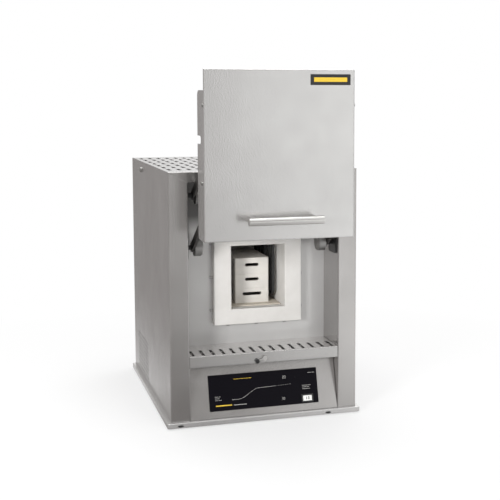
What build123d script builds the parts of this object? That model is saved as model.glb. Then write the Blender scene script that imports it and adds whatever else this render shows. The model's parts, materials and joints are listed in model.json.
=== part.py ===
from build123d import *
from math import atan2, cos, degrees, radians, sin
import os

# Bench furnace with a parallel-swinging lift door. Millimetres, +Z up, +Y towards the back.
# The shapes are drawn with Y = 0 on the front face of the body, Z = 0 on the bench and X = 0 on the
# body's middle. They are written with the origin under the middle of the whole envelope, door open.

# ---- Body ----
body_w = 400.0
body_d = 500.0
body_h = 526.0
sheet_t = 1.2
foot_gap = 3.0
tray_h = 10.0
tray_lip = 7.6
tray_t = 1.5
tray_corner_r = 3.0
tray_slot_w = 6.0
tray_slot_len = 90.0
tray_slot_pitch = 26.0
tray_slot_count = 10
bend_r = 1.0
foot_r = 10.0
foot_inset = 30.0
pillar_w = 40.0
top_flange_h = 21.0

# ---- Door well, ledge and sloping front ----
well_d = 96.0
ledge_z = 147.0
lip_h = 23.0
fascia_tilt = 16.0
front_gap = 0.5
ledge_slot_count = 15
ledge_slot_pitch = 21.5
ledge_slot_len = 44.0
ledge_slot_w = 6.5
ledge_slot_y = 28.0

# ---- Perforations ----
top_slot_margin = 12.0
top_slot_len = 42.0
top_slot_w = 7.0
top_slot_pitch_x = 20.6
top_slot_pitch_y = 63.0
side_hole_w = 5.0
side_hole_pitch_y = 11.0
side_hole_pitch_z = 10.0
side_field_y = 365.0
side_field_z = 68.0
side_field_cols = 14
side_field_rows = 9
side_plug_y = 353.0
side_plug_drop = 19.0
side_plug_r = 6.0
side_plug_head = 4.0
side_plug_edge_r = 3.0
side_plug_lip = 1.5
side_plug_len = 4.0
louvre_len = 60.0
louvre_w = 4.0
louvre_pitch = 12.0
louvre_rows = 6
louvre_drop = 86.0
louvre_x = (-110.0, 120.0)

# ---- Hot box ----
muffle_x = 5.0
muffle_w = 118.0
muffle_z = 225.0
muffle_h = 136.0
muffle_back_y = 330.0
collar_w = 192.0
collar_t = 22.0
collar_below = 33.0
collar_edge_r = 1.5
mouth_margin = 4.0
clip_w = 6.0
clip_t = 5.0
clip_inset_x = 33.0
clip_inset_z = 29.0
insulation_t = 48.0
casing_t = 1.0
hearth_t = 10.0
hearth_step = 1.0
hearth_gap = 1.0
hearth_front = 10.0
stand_w = 30.0
stand_t = 1.5
stand_front_y = 140.0
stand_inset = 20.0
saggar_w = 76.0
saggar_d = 120.0
saggar_h = 32.0
saggar_wall = 5.0
saggar_corner_r = 3.0
saggar_edge_r = 0.8
saggar_y = 128.0
saggar_slot_z = 20.0
saggar_slot_h = 7.0
saggar_slot_w = 31.0
lower_saggar_slot_w = 43.0
lid_t = 3.0
element_r = 3.5
element_inset = 9.0
element_pitch = 62.0
element_leg_gap = 26.0
element_first_y = 135.0
element_pairs = 3
element_top_z = 440.0
element_bottom_clear = 14.0
terminal_r = 7.0
terminal_h = 16.0
element_hole_gap = 1.0
sheath_r = 4.0
sheath_drop = 40.0
sheath_reach = 34.0
sheath_head_r = 15.0
sheath_head_len = 22.0
sheath_tail = 20.0
sheath_gap = 0.2
exhaust_r = 10.0
exhaust_wall = 4.0
exhaust_z = 335.0
exhaust_proud = 5.0
exhaust_gap = 0.5

# ---- Door and its linkage ----
door_w = 303.0
door_h = 330.0
door_open_z = 398.4
door_t = 1.2
door_flange_t = 1.5
door_flange_d = 57.0
door_flange_top = 40.0
door_hem = 12.0
door_hem_inset = 20.0
flange_corner_r = 12.0
door_shut_proud = 1.5
arm_len = 152.0
arm_open = 30.5
arm_shut = 84.5
arm_w = 18.0
arm_t = 5.0
arm_gap = 3.0
upper_pivot = (26.0, 476.0)
lower_pivot = (40.0, 367.0)
shaft_r = 5.0
door_pin_r = 4.0
running_fit = 0.05
loop_clearance = 0.4
drum_r = 18.0
drum_len = 17.0
drum_edge_r = 4.0
shaft_grip = 1.0
bracket_t = 2.5
bracket_y = 34.0
bracket_d = 46.0
bracket_corner_r = 6.0
bracket_margin = 22.0
notch_depth = 31.0
notch_h = 16.0
notch_drop = 2.0
door_pack_w = 236.0
door_pack_gap = 22.0
door_pack_margin = 20.0
door_pack_edge_r = 3.0
rail_w = 24.0
rail_t = 1.5
rail_inset = 30.0
rail_margin = 10.0
bolt_r = 3.5
bolt_head = 1.6
bolt_places = ((5.5, 69.0), (16.5, 218.0))
seal_gap = 1.0
plug_gap = 5.0
plug_reach = 9.0

# ---- Handle, plate and controls ----
handle_r = 8.0
handle_len = 150.0
handle_standoff = 42.0
handle_up = 42.0
post_r = 6.0
post_inset = 6.0
badge_w = 82.0
badge_h = 21.0
badge_t = 0.8
badge_corner_r = 1.0
badge_inset = 9.0
panel_w = 236.0
panel_h = 74.0
panel_t = 2.5
panel_up = 15.0
panel_corner_r = 2.0
panel_edge_r = 0.6
board_x = (-85.0, 55.0)
board_half_h = 24.0
board_t = 1.6
board_gap = 6.4
board_window = 5.0
board_margin = 2.0
chip_t = 3.0
chips = ((-50, 8, 22, 22), (0, 10, 16, 12), (30, -8, 12, 18), (-60, -14, 18, 10))
spacer_r = 2.5
spacer_inset = 4.0
rocker_u = 93.5
rocker_v = 26.0
rocker_w = 20.0
rocker_h = 11.0
rocker_swing = 16.0
bezel_margin = 3.0
bezel_t = 1.2
rocker_gap = 0.4
rocker_end_gap = 0.3
rocker_pin_r = 1.2
rocker_pin_depth = 1.0
rocker_crown = 4.5
rocker_below = 6.5
switch_wall = 0.9
switch_hole_gap = 0.2
switch_depth = 22.0
switch_bay = 10.0
tab_w = 4.0
tab_t = 1.0
tab_len = 8.0
tab_pitch = 6.0
lever_x = -2.0
lever_z = 134.6
lever_len = 17.0
lever_dip = 19.0
lever_r = 2.5
lever_arm_r = 1.4
lever_arm_out = 3.5
lever_boss_r = 5.0
lever_boss_len = 4.6
lever_disc_r = 8.5
lever_disc_t = 1.2
lever_gap = 0.4
knob_r = 4.5
knob_out = 5.0

# ---- Back and electrics ----
fan_x = -105.0
fan_z = 78.0
fan_size = 92.0
fan_depth = 25.0
fan_wall = 3.0
fan_lip = 4.0
fan_corner_r = 5.0
fan_hub_r = 16.0
fan_hub_len = 16.0
fan_plate_t = 4.0
fan_shaft_r = 2.0
fan_strut_w = 5.0
fan_strut_t = 3.0
fan_tip_gap = 1.5
fan_hub_gap = 1.0
blade_count = 7
blade_len = 27.0
blade_w = 15.0
blade_t = 1.6
blade_pitch = 35.0
guard_rings = (12.0, 22.0, 32.0, 42.0)
guard_wire_r = 1.2
guard_span = 100.0
guard_lug_at = 35.4
guard_lug_r = 4.0
guard_lug_len = 4.5
inlet_x = 150.0
inlet_z = 70.0
inlet_w = 48.0
inlet_h = 28.0
inlet_flange_t = 3.0
inlet_corner_r = 3.0
inlet_body = (32.0, 26.0, 22.0)
inlet_bay = (26.0, 18.0, 17.0)
inlet_blades = ((-8.0, -1.5), (0.0, 2.0), (8.0, -1.5))
inlet_blade = (2.0, 14.0, 6.0)
module_x = 40.0
module_w = 70.0
module_d = 60.0
module_base_t = 6.0
module_back = 30.0
fin_h = 24.0
fin_t = 2.0
fin_pitch = 8.0
fin_count = 9
relay_x = 122.0
relay_w = 58.0
relay_d = 50.0
relay_h = 22.0
relay_back = 40.0

# ---- Screws ----
screw_r = 3.5
screw_head = 2.0
screw_inset = 12.0
screw_low = 17.0
screw_drop = 16.0
screw_rows = 5
top_screw_drop = 8.0
top_screw_pitch = 110.0

# ---- Worked out from the sizes above ----
half_w = body_w / 2
inner_w = half_w - sheet_t
well_half = half_w - pillar_w
tray_top = foot_gap + tray_h
top_under = body_h - sheet_t
back_in = body_d - sheet_t
bulkhead_back = well_d + sheet_t
ledge_under = ledge_z - sheet_t
well_top = body_h - top_flange_h
collar_y = well_d - collar_t
side_plug_z = body_h - side_plug_drop
collar_low = muffle_z - collar_below
collar_high = muffle_z + muffle_h + collar_below
muffle_left = muffle_x - muffle_w / 2
muffle_right = muffle_x + muffle_w / 2
muffle_top = muffle_z + muffle_h
sheath_z = exhaust_z - sheath_drop
hearth_top = muffle_z + hearth_step
box_left = muffle_left - insulation_t
box_right = muffle_right + insulation_t
box_low = muffle_z - hearth_t + hearth_step - insulation_t
box_high = muffle_top + insulation_t
box_back = muffle_back_y + insulation_t
door_half = door_w / 2
arm_out = door_half - door_flange_t - arm_gap
arm_in = arm_out - arm_t
bracket_in = well_half - bracket_t
travel_y = arm_len * (cos(radians(arm_open)) - cos(radians(arm_shut)))
travel_z = arm_len * (sin(radians(arm_open)) + sin(radians(arm_shut)))
door_front = -door_shut_proud - travel_y
door_top = door_open_z + door_h
arm_reach = (-arm_len * cos(radians(arm_open)), arm_len * sin(radians(arm_open)))
upper_door_pivot = (upper_pivot[0] + arm_reach[0], upper_pivot[1] + arm_reach[1])
lower_door_pivot = (lower_pivot[0] + arm_reach[0], lower_pivot[1] + arm_reach[1])
handle_y = door_front - handle_standoff
handle_z = door_open_z + handle_up
pack_front = door_front + door_pack_gap
pack_back = collar_y - seal_gap - travel_y
envelope_front = handle_y - handle_r
envelope_back = body_d + exhaust_proud
origin_y = (envelope_front + envelope_back) / 2

FASCIA = Plane(
    origin=(0, 0, tray_top),
    x_dir=(1, 0, 0),
    z_dir=(0, -cos(radians(fascia_tilt)), sin(radians(fascia_tilt))),
)


def block(x, y, z):
    """A box between the given limits along X, Y and Z."""
    limits = (x, y, z)
    middle = [(low + high) / 2 for low, high in limits]
    return Pos(*middle) * Box(*[high - low for low, high in limits])


def rod(start, direction, radius, length):
    """A round bar that starts at a point and runs along a direction."""
    low = (Align.CENTER, Align.CENTER, Align.MIN)
    return Plane(origin=start, z_dir=direction) * Cylinder(radius, length, align=low)


def front_sheet(outline, front, thickness):
    """An outline drawn in X and Z, as a sheet whose front face is at Y = front."""
    plane = Plane(origin=(0, front + thickness, 0), x_dir=(1, 0, 0), z_dir=(0, -1, 0))
    return extrude(plane * outline, thickness)


def side_sheet(outline, left, thickness):
    """An outline drawn in Y and Z, as a sheet whose lower X face is at X = left."""
    return extrude(Plane(origin=(left, 0, 0), x_dir=(0, 1, 0), z_dir=(1, 0, 0)) * outline, thickness)


def flat_sheet(outline, bottom, thickness):
    """An outline drawn in X and Y, as a sheet whose underside is at Z = bottom."""
    return extrude(Pos(0, 0, bottom) * outline, thickness)


def mirrored(shape):
    """The same shape on the other side of the body's middle plane."""
    return mirror(shape, about=Plane.YZ)


def group(shapes):
    """Separate solids kept together in one node."""
    return Compound([solid for shape in shapes for solid in shape.solids()])


def front_edges(shape, axis, front, least):
    """The edges along an axis at Y = front that are longer than a given length, on the outer side."""
    found = shape.edges().filter_by(axis).filter_by(lambda edge: abs(edge.center().Y - front) < 1e-3)
    found = [edge for edge in found if edge.length > least]
    return [max(found, key=lambda edge: edge.center().Z)] if axis == Axis.X else found


def window(x, z):
    """A rectangle in X and Z between the given limits."""
    return Pos((x[0] + x[1]) / 2, (z[0] + z[1]) / 2) * Rectangle(x[1] - x[0], z[1] - z[0])


# ---- Base and covers ----
def base_tray():
    """A shallow pressed tray with a lip at the front and sides and a row of air slots."""
    half = half_w + tray_lip
    x, y, z = (-half, half), (-tray_lip, body_d), (foot_gap, tray_top)
    tray = fillet(block(x, y, z).edges().filter_by(Axis.Z), tray_corner_r)
    rim = tray.edges().group_by(Axis.Z)[-1].sort_by(Axis.Y)[:-1]
    tray = fillet(rim, bend_r)
    tray -= block((x[0] + tray_t, x[1] - tray_t), (y[0] + tray_t, y[1] - tray_t), (0, z[1] - tray_t))
    return tray - [
        Pos(place.position.X, body_d / 2, tray_top) * Box(tray_slot_w, tray_slot_len, 4 * tray_t)
        for place in GridLocations(tray_slot_pitch, 1, tray_slot_count, 1)
    ]


def feet():
    """Four rubber feet under the corners of the tray."""
    places = [(sx * (half_w - foot_inset), y) for sx in (-1, 1) for y in (foot_inset, body_d - foot_inset)]
    return group([rod((x, y, 0), (0, 0, 1), foot_r, tray_top - tray_t) for x, y in places])


def pillar_outline():
    """The left front pillar, with its top cut to a mitre."""
    return Polygon(
        (-half_w, tray_top), (-well_half, tray_top), (-well_half, well_top), (-half_w, top_under), align=None
    )


def perforation():
    """The staggered field of diamond holes low down at the back of a side."""
    diamond = Rot(0, 0, 45) * Rectangle(side_hole_w, side_hole_w)
    holes = []
    for row in range(side_field_rows):
        shift = side_hole_pitch_y / 2 * (row % 2)
        for col in range(side_field_cols):
            y = side_field_y + (col - side_field_cols / 2) * side_hole_pitch_y + shift
            z = side_field_z + (row - (side_field_rows - 1) / 2) * side_hole_pitch_z
            holes.append(Pos(y, z) * diamond)
    return holes


def left_side_cover():
    """Side sheet folded round the front into a pillar."""
    wall = window((sheet_t, body_d), (tray_top, top_under)) - perforation()
    wall -= Pos(side_plug_y, side_plug_z) * Circle(side_plug_r - side_plug_lip)
    side = side_sheet(wall, -half_w, sheet_t)
    cover = side + front_sheet(pillar_outline(), 0, sheet_t)
    return fillet(front_edges(cover, Axis.Z, 0, top_under / 2), bend_r)


def top_cover():
    """Slotted lid with a mitred front flange between the pillars."""
    count_x = 2 * int((half_w - top_slot_margin) / top_slot_pitch_x) + 1
    count_y = int((body_d - 2 * top_slot_margin) / top_slot_pitch_y)
    slot = Rot(0, 0, 90) * SlotOverall(top_slot_len, top_slot_w)
    slots = [
        Pos(0, body_d / 2 + top_slot_margin) * place * slot
        for place in GridLocations(top_slot_pitch_x, top_slot_pitch_y, count_x, count_y)
    ]
    plate = Pos(0, body_d / 2) * Rectangle(body_w, body_d) - slots
    flange = Polygon(
        (-half_w, top_under), (-well_half, well_top), (well_half, well_top), (half_w, top_under), align=None
    )
    cover = flat_sheet(plate, top_under, sheet_t) + front_sheet(flange, 0, sheet_t)
    rim = [edge for edge in cover.edges().group_by(Axis.Z)[-1] if edge.length > body_w / 2]
    return fillet(rim, bend_r)


def well_ceiling():
    """The strip that closes the top of the door well."""
    return block((-well_half, well_half), (sheet_t, well_d), (well_top, well_top + sheet_t))


def left_well_wall():
    """The flat side of the door well."""
    return block((-well_half - sheet_t, -well_half), (sheet_t, well_d), (tray_top, top_under))


def bulkhead():
    """The plate behind the door well, with the muffle's opening."""
    plate = window((-inner_w, inner_w), (tray_top, top_under))
    opening = window(
        (muffle_left - mouth_margin, muffle_right + mouth_margin),
        (muffle_z - mouth_margin, muffle_top + mouth_margin),
    )
    return front_sheet(plate - opening, well_d, sheet_t)


def vented_ledge():
    """Slotted shelf below the door with a turned-down lip."""
    slot = Rot(0, 0, 90) * SlotOverall(ledge_slot_len, ledge_slot_w)
    slots = [
        Pos(0, ledge_slot_y) * place * slot
        for place in GridLocations(ledge_slot_pitch, 1, ledge_slot_count, 1)
    ]
    edge = well_half - front_gap
    shelf = Pos(0, well_d / 2) * Rectangle(2 * edge, well_d) - slots
    lip = block((-edge, edge), (0, sheet_t), (ledge_z - lip_h, ledge_under))
    lip -= rod((lever_x, -1, lever_z), (0, 1, 0), lever_r + running_fit, 2 * sheet_t)
    ledge = flat_sheet(shelf, ledge_under, sheet_t) + lip
    return fillet(front_edges(ledge, Axis.X, 0, half_w), bend_r)


def rear_cover():
    """Back sheet with openings for the fan, the mains inlet, the exhaust and two groups of louvres."""
    plate = window((-inner_w, inner_w), (tray_top, top_under))
    plate -= Pos(fan_x, fan_z) * Circle(fan_size / 2 - fan_lip)
    plate -= Pos(inlet_x, inlet_z) * Rectangle(inlet_body[0], inlet_body[2])
    plate -= Pos(muffle_x, exhaust_z) * Circle(exhaust_r + exhaust_wall + exhaust_gap)
    louvre = SlotOverall(louvre_len, louvre_w)
    for x in louvre_x:
        plate -= [
            Pos(x, body_h - louvre_drop) * place * louvre
            for place in GridLocations(1, louvre_pitch, 1, louvre_rows)
        ]
    return front_sheet(plate, back_in, sheet_t)


# ---- Sloping front ----
def fascia():
    """Sloping sheet below the ledge, from the tray up to the underside of the ledge."""
    length = (ledge_under - tray_top) / cos(radians(fascia_tilt)) - front_gap
    edge = well_half - front_gap
    plate = block((-edge, edge), (front_gap, length), (-sheet_t, 0))
    middle = panel_up + panel_h / 2
    half = board_half_h + board_margin
    plate -= block(
        (board_x[0] - board_window, board_x[1] + board_window), (middle - half, middle + half), (-5, 5)
    )
    return FASCIA * (plate - switch_hole())


def control_panel():
    """Black overlay plate with a hole for the mains switch."""
    plate = block((-panel_w / 2, panel_w / 2), (panel_up, panel_up + panel_h), (0, panel_t))
    plate = fillet(plate.edges().filter_by(Axis.Z), panel_corner_r)
    plate = fillet(plate.edges().group_by(Axis.Z)[-1], panel_edge_r)
    return FASCIA * (plate - switch_hole())


def controller_board():
    """The controller's circuit board, on the back of the overlay inside the fascia's opening."""
    middle = panel_up + panel_h / 2
    front, back = -board_gap, -board_gap - board_t
    board = block(board_x, (middle - board_half_h, middle + board_half_h), (back, front))
    parts = [Pos(x, middle + y, back - chip_t / 2) * Box(w, h, chip_t) for x, y, w, h in chips]
    spacers = [
        rod((x, middle + side * (board_half_h - spacer_inset), front), (0, 0, 1), spacer_r, board_gap)
        for x in (board_x[0] + spacer_inset, board_x[1] - spacer_inset)
        for side in (-1, 1)
    ]
    return FASCIA * (board + parts + spacers)


def switch_hole():
    """The hole through the fascia and the overlay for the mains switch, in the fascia's frame."""
    x, y, _ = switch_block(rocker_gap + switch_wall + switch_hole_gap)
    return block(x, y, (-2 * bezel_t - sheet_t, 2 * panel_t))


def switch_block(margin):
    """X and Y limits of the rocker's window with a margin all round, and the rocker's middle."""
    x = (rocker_u - rocker_w / 2 - margin, rocker_u + rocker_w / 2 + margin)
    y = (rocker_v - rocker_h / 2 - margin, rocker_v + rocker_h / 2 + margin)
    return x, y, (rocker_u, rocker_v)


def switch_housing():
    """The mains switch's frame and body, with a round-bottomed bay for the rocker and its pin."""
    x, y, _ = switch_block(bezel_margin)
    frame = block(x, y, (panel_t, panel_t + bezel_t))
    x, y, _ = switch_block(rocker_gap + switch_wall)
    body = block(x, y, (-switch_depth, panel_t))
    x, y, middle = switch_block(rocker_gap)
    bay = block(x, (y[0] + rocker_gap - rocker_end_gap, y[1] - rocker_gap + rocker_end_gap), (
        -switch_bay, panel_t + 2 * bezel_t
    ))
    low = rocker_v - rocker_h / 2 - rocker_end_gap
    pin = rod(
        (rocker_u, low, panel_t - rocker_pin_depth), (0, 1, 0), rocker_pin_r, rocker_h + 2 * rocker_end_gap
    )
    tabs = [
        block(
            (middle[0] + step * tab_pitch - tab_w / 2, middle[0] + step * tab_pitch + tab_w / 2),
            (low, low + tab_t),
            (-switch_depth - tab_len, -switch_depth),
        )
        for step in (-1, 0, 1)
    ]
    return FASCIA * (frame + body - bay + pin + tabs)


def mains_rocker():
    """The rocker: a round-bottomed key with a shallow V top, pressed at its right end."""
    half_angle = rocker_swing / 2
    x, y = (-2 * rocker_w, 2 * rocker_w), (-rocker_h, rocker_h)
    key = Rot(90, 0, 0) * Cylinder(rocker_w / 2, rocker_h)
    for side in (-1, 1):
        key -= Rot(0, side * half_angle, 0) * block(x, y, (rocker_crown, 2 * rocker_w))
    key -= block(x, y, (-2 * rocker_w, -rocker_below))
    key -= Rot(90, 0, 0) * Cylinder(rocker_pin_r + running_fit, 2 * rocker_h)
    return FASCIA * Pos(rocker_u, rocker_v, panel_t - rocker_pin_depth) * Rot(0, half_angle, 0) * key


def lever_direction():
    """The lever's direction in X and Z: to the left and a little down."""
    return (-cos(radians(lever_dip)), -sin(radians(lever_dip)))


def air_lever():
    """Air throttle: spindle through the lip, boss, lever arm and the disc behind the lip."""
    dx, dz = lever_direction()
    boss_y = -lever_gap - lever_boss_len
    boss = rod((lever_x, boss_y, lever_z), (0, 1, 0), lever_boss_r, lever_boss_len)
    spindle = rod((lever_x, -2 * lever_gap, lever_z), (0, 1, 0), lever_r, sheet_t + 4 * lever_gap)
    disc = rod((lever_x, sheet_t + lever_gap, lever_z), (0, 1, 0), lever_disc_r, lever_disc_t)
    arm = rod((lever_x, -lever_arm_out, lever_z), (dx, 0, dz), lever_arm_r, lever_len)
    return boss + spindle + disc + arm


def air_knob():
    """The ball on the end of the air lever."""
    dx, dz = lever_direction()
    ball = Pos(lever_x + dx * lever_len, -knob_out, lever_z + dz * lever_len) * Sphere(knob_r)
    return ball - air_lever()


# ---- Hot box ----
def collar():
    """Fibre ring round the muffle's mouth, in front of the bulkhead."""
    outer = window((muffle_x - collar_w / 2, muffle_x + collar_w / 2), (collar_low, collar_high))
    mouth = window((muffle_left, muffle_right), (muffle_z, muffle_top))
    ring = front_sheet(outer - mouth, collar_y, collar_t)
    return fillet(ring.edges().group_by(Axis.Y)[0], collar_edge_r)


def collar_clips():
    """Small bent clips that hold the collar's edges to the bulkhead."""
    middle_z = (collar_low + collar_high) / 2
    step_x = collar_w / 2 - clip_inset_x
    step_z = (collar_high - collar_low) / 2 - clip_inset_z
    y = (well_d - clip_t, well_d)
    half = clip_w / 2
    clips = []
    for step in (-1, 0, 1):
        x, z = muffle_x + step_x * step, middle_z + step_z * step
        for side in (-1, 1):
            edge = muffle_x + side * (collar_w / 2 + half)
            clips.append(block((edge - half, edge + half), y, (z - half, z + half)))
        clips.append(block((x - half, x + half), y, (collar_low - clip_w, collar_low)))
        clips.append(block((x - half, x + half), y, (collar_high, collar_high + clip_w)))
    return group(clips)


def element_legs():
    """The (X, Y) places of every heating element's leg."""
    places = []
    for x in (muffle_left + element_inset, muffle_right - element_inset):
        for pair in range(element_pairs):
            y = element_first_y + pair * element_pitch
            places += [(x, y), (x, y + element_leg_gap)]
    return places


def insulation_roof():
    """Roof slab with a clearance hole for each element leg."""
    slab = block((box_left, box_right), (bulkhead_back, muffle_back_y), (muffle_top, box_high))
    for x, y in element_legs():
        slab -= rod((x, y, muffle_top - 1), (0, 0, 1), element_r + element_hole_gap, insulation_t + 2)
    return slab


def insulation_rear():
    """Rear slab with holes for the exhaust tube and the thermocouple."""
    slab = block((box_left, box_right), (muffle_back_y, box_back), (box_low, box_high))
    for z, radius in rear_holes():
        slab -= rod((muffle_x, muffle_back_y - 1, z), (0, 1, 0), radius, insulation_t + 2)
    return slab


def rear_holes():
    """Height and radius of the holes for the exhaust tube and the thermocouple's sheath."""
    return (exhaust_z, exhaust_r + exhaust_wall), (sheath_z, sheath_r + sheath_gap)


def casing():
    """Thin sheet box round the insulation, open at the front."""
    outer = block(
        (box_left - casing_t, box_right + casing_t),
        (bulkhead_back, box_back + casing_t),
        (box_low - casing_t, box_high + casing_t),
    )
    outer -= block((box_left, box_right), (0, box_back), (box_low, box_high))
    for z, radius in rear_holes():
        outer -= rod((muffle_x, box_back - 1, z), (0, 1, 0), radius, 3 * casing_t)
    for x, y in element_legs():
        outer -= rod((x, y, box_high - 1), (0, 0, 1), element_r + element_hole_gap, 3 * casing_t)
    return outer


def casing_stands():
    """Two folded channels that carry the hot box above the tray."""
    top = box_low - casing_t
    stands = []
    for x in (box_left + stand_inset, box_right - stand_inset - stand_w):
        stand = block((x, x + stand_w), (stand_front_y, box_back - stand_inset), (tray_top, top))
        stand -= block((x + stand_t, x + stand_w - stand_t), (0, body_d), (tray_top + stand_t, top - stand_t))
        stands.append(stand)
    return group(stands)


def heating_elements(x):
    """The hairpin elements along one wall, with straight legs up through the roof."""
    hairpins = []
    low = hearth_top + element_bottom_clear + element_leg_gap / 2
    half = element_leg_gap / 2
    for pair in range(element_pairs):
        y = element_first_y + pair * element_pitch
        ring = Pos(x, y + half, low) * Rot(0, 90, 0) * Torus(half, element_r)
        bend = ring & block((x - half, x + half), (0, body_d), (0, low))
        legs = [
            rod((x, leg, low), (0, 0, 1), element_r, element_top_z - low)
            for leg in (y, y + element_leg_gap)
        ]
        hairpins.append(bend + legs)
    return group(hairpins)


def element_clamps():
    """A clamp round the top of each element leg."""
    clamps = []
    low = element_top_z - terminal_h
    for x, y in element_legs():
        clamp = rod((x, y, low), (0, 0, 1), terminal_r, terminal_h)
        clamps.append(clamp - rod((x, y, low - 1), (0, 0, 1), element_r, terminal_h + 2))
    return group(clamps)


def hearth_plate():
    """Ceramic plate on the muffle's floor."""
    return block(
        (muffle_left + hearth_gap, muffle_right - hearth_gap),
        (well_d + hearth_front, muffle_back_y - hearth_gap),
        (hearth_top - hearth_t, hearth_top),
    )


def saggar(level, slot_w):
    """A ceramic tray with a slot through its front and back walls."""
    bottom = hearth_top + level * saggar_h
    x = (muffle_x - saggar_w / 2, muffle_x + saggar_w / 2)
    y = (saggar_y, saggar_y + saggar_d)
    tray = fillet(block(x, y, (bottom, bottom + saggar_h)).edges().filter_by(Axis.Z), saggar_corner_r)
    tray = fillet(tray.edges().group_by(Axis.Z)[-1], saggar_edge_r)
    tray -= block(
        (x[0] + saggar_wall, x[1] - saggar_wall),
        (y[0] + saggar_wall, y[1] - saggar_wall),
        (bottom + saggar_wall, bottom + saggar_h + 1),
    )
    slot = Pos(muffle_x, bottom + saggar_slot_z) * SlotOverall(slot_w, saggar_slot_h)
    return tray - front_sheet(slot, saggar_y - 1, saggar_d + 2)


def saggar_lid():
    """Flat lid on the top saggar."""
    bottom = hearth_top + 3 * saggar_h
    x = (muffle_x - saggar_w / 2, muffle_x + saggar_w / 2)
    lid = block(x, (saggar_y, saggar_y + saggar_d), (bottom, bottom + lid_t))
    lid = fillet(lid.edges().filter_by(Axis.Z), saggar_corner_r)
    return fillet(lid.edges().group_by(Axis.Z)[-1], saggar_edge_r)


def exhaust_tube():
    """Ceramic tube from the muffle out through the back."""
    length = body_d + exhaust_proud - muffle_back_y
    tube = rod((muffle_x, muffle_back_y, exhaust_z), (0, 1, 0), exhaust_r + exhaust_wall, length)
    return tube - rod((muffle_x, muffle_back_y - 1, exhaust_z), (0, 1, 0), exhaust_r, length + 2)


def thermocouple():
    """Sheath through the rear slab, with a round head behind it."""
    head_y = box_back + sheath_tail
    start = muffle_back_y - sheath_reach
    sheath = rod((muffle_x, start, sheath_z), (0, 1, 0), sheath_r, head_y - start)
    return sheath + rod((muffle_x, head_y, sheath_z), (0, 1, 0), sheath_head_r, sheath_head_len)


# ---- Electrics ----
def fan_frame():
    """Square fan frame with a round duct, two crossed struts and the motor's stub shaft."""
    y = (back_in - fan_depth, back_in)
    half = fan_size / 2
    frame = block((fan_x - half, fan_x + half), y, (fan_z - half, fan_z + half))
    frame = fillet(frame.edges().filter_by(Axis.Y), fan_corner_r)
    frame -= rod((fan_x, y[0] - 1, fan_z), (0, 1, 0), half - fan_wall, fan_depth + 2)
    struts = [
        Pos(fan_x, y[0] + fan_strut_t / 2, fan_z)
        * Rot(0, angle, 0)
        * Box(fan_size - 2 * fan_wall + 1, fan_strut_t, fan_strut_w)
        for angle in (45, 135)
    ]
    motor = rod((fan_x, y[0], fan_z), (0, 1, 0), fan_hub_r, fan_plate_t)
    shaft = rod((fan_x, y[0] + fan_plate_t, fan_z), (0, 1, 0), fan_shaft_r, fan_hub_len)
    return frame + struts + motor + shaft


def fan_rotor():
    """Hub with pitched blades on the stub shaft."""
    start = back_in - fan_depth + fan_plate_t + fan_hub_gap
    middle = start + fan_hub_len / 2
    hub = rod((fan_x, start, fan_z), (0, 1, 0), fan_hub_r, fan_hub_len)
    blade = Pos(fan_hub_r + blade_len / 2 - fan_tip_gap, 0, 0) * Rot(blade_pitch, 0, 0)
    blade *= Box(blade_len, blade_t, blade_w)
    reach = rod(
        (fan_x, middle - blade_w / 2, fan_z), (0, 1, 0), fan_size / 2 - fan_wall - fan_tip_gap, blade_w
    )
    blades = [
        Pos(fan_x, middle, fan_z) * Rot(0, 360 / blade_count * n, 0) * blade & reach
        for n in range(blade_count)
    ]
    bore = rod((fan_x, start - 1, fan_z), (0, 1, 0), fan_shaft_r + running_fit, fan_depth)
    return hub + blades - bore


def fan_guard():
    """Wire guard of rings and spokes on the outside of the back."""
    ring_y = body_d + guard_wire_r
    spoke_y = ring_y + guard_wire_r
    rings = [Pos(fan_x, ring_y, fan_z) * Rot(90, 0, 0) * Torus(r, guard_wire_r) for r in guard_rings]
    spokes = [
        Pos(fan_x, spoke_y, fan_z) * Rot(0, angle, 0) * Box(guard_span, 2 * guard_wire_r, 2 * guard_wire_r)
        for angle in (45, 135)
    ]
    lugs = [
        rod(
            (fan_x + sx * guard_lug_at, body_d, fan_z + sz * guard_lug_at),
            (0, 1, 0),
            guard_lug_r,
            guard_lug_len,
        )
        for sx in (-1, 1)
        for sz in (-1, 1)
    ]
    return rings[0] + rings[1:] + spokes + lugs


def centred(x, y, z, size):
    """X and Z limits of a block of a given size, with Y from y inwards."""
    return (x - size[0] / 2, x + size[0] / 2), (y - size[1], y), (z - size[2] / 2, z + size[2] / 2)


def mains_inlet():
    """Flanged mains socket in the back, with three contact blades."""
    outside = body_d + inlet_flange_t
    flange = block(*centred(inlet_x, outside, inlet_z, (inlet_w, inlet_flange_t, inlet_h)))
    flange = fillet(flange.edges().filter_by(Axis.Y), inlet_corner_r)
    body = block(*centred(inlet_x, body_d, inlet_z, inlet_body))
    bay = block(*centred(inlet_x, outside + 1, inlet_z, (inlet_bay[0], inlet_bay[1] + 4, inlet_bay[2])))
    blade_y = body_d - inlet_bay[1] + inlet_blade[1]
    blades = [block(*centred(inlet_x + x, blade_y, inlet_z + z, inlet_blade)) for x, z in inlet_blades]
    return flange + body - bay + blades


def power_module():
    """Switching module on a finned heat sink, standing on the tray."""
    y = (body_d - module_back - module_d, body_d - module_back)
    top = tray_top + module_base_t
    base = block((module_x, module_x + module_w), y, (tray_top, top))
    first = module_x + (module_w - (fin_count - 1) * fin_pitch - fin_t) / 2
    fins = [
        block((first + fin_pitch * n, first + fin_pitch * n + fin_t), y, (top, top + fin_h))
        for n in range(fin_count)
    ]
    return base + fins


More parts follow.
